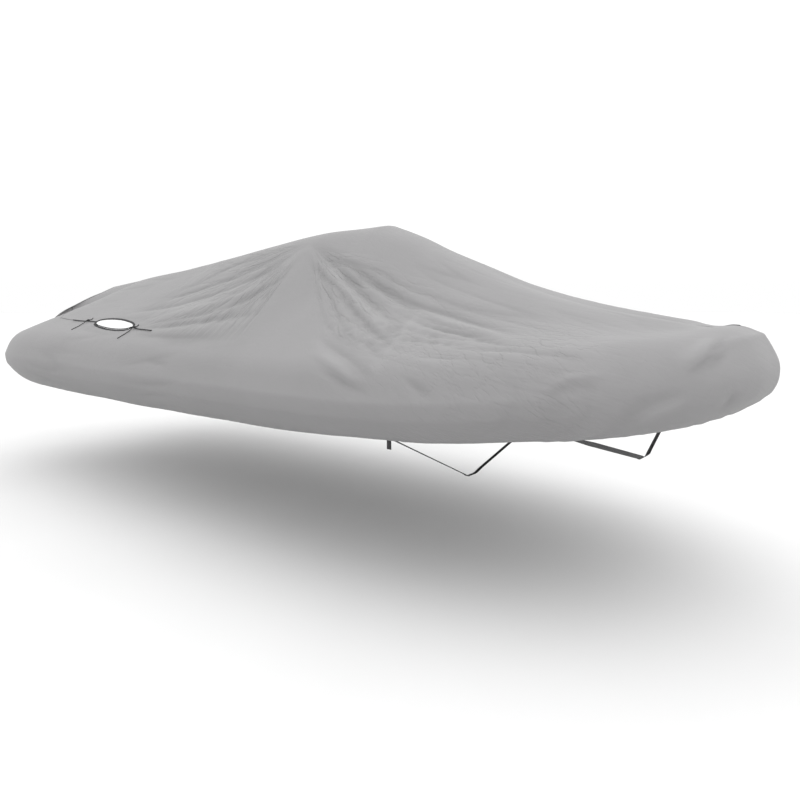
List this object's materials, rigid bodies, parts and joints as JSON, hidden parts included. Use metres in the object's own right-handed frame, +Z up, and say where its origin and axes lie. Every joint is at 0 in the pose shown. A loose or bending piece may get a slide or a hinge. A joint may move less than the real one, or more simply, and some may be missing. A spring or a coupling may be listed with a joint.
{
  "type": "boat cover",
  "caption": "Grey fitted cover for an open inflatable boat with a rigid hull, peaked over the console, with arch leg openings, ties and straps under the hull.",
  "frame": {"origin": "underside of the cloth at the cover's highest point, where the boat's console holds it up, on the centre line", "axes": "+X to the bow, +Y to port, +Z up"},
  "size_m": [6.7645, 2.52, 1.761],
  "materials": {
    "grey_polyester": "matte woven",
    "black_binding": "matte tape",
    "black_cord": "braided",
    "black_webbing": "woven webbing"
  },
  "bodies": {
    "root": {"cover_cloth": "grey_polyester", "opening_binding_starboard": "black_binding", "opening_binding_port": "black_binding", "slit_cord_starboard": "black_cord", "slit_cord_port": "black_cord", "tie_aft_starboard": "black_cord", "tie_aft_port": "black_cord", "tie_fore_starboard": "black_cord", "tie_fore_port": "black_cord", "belly_strap_mid": "black_webbing", "belly_strap_bow": "black_webbing", "strap_tail": "black_webbing", "hem_loop_starboard": "black_webbing", "hem_loop_port": "black_webbing"}
  },
  "joints": []
}
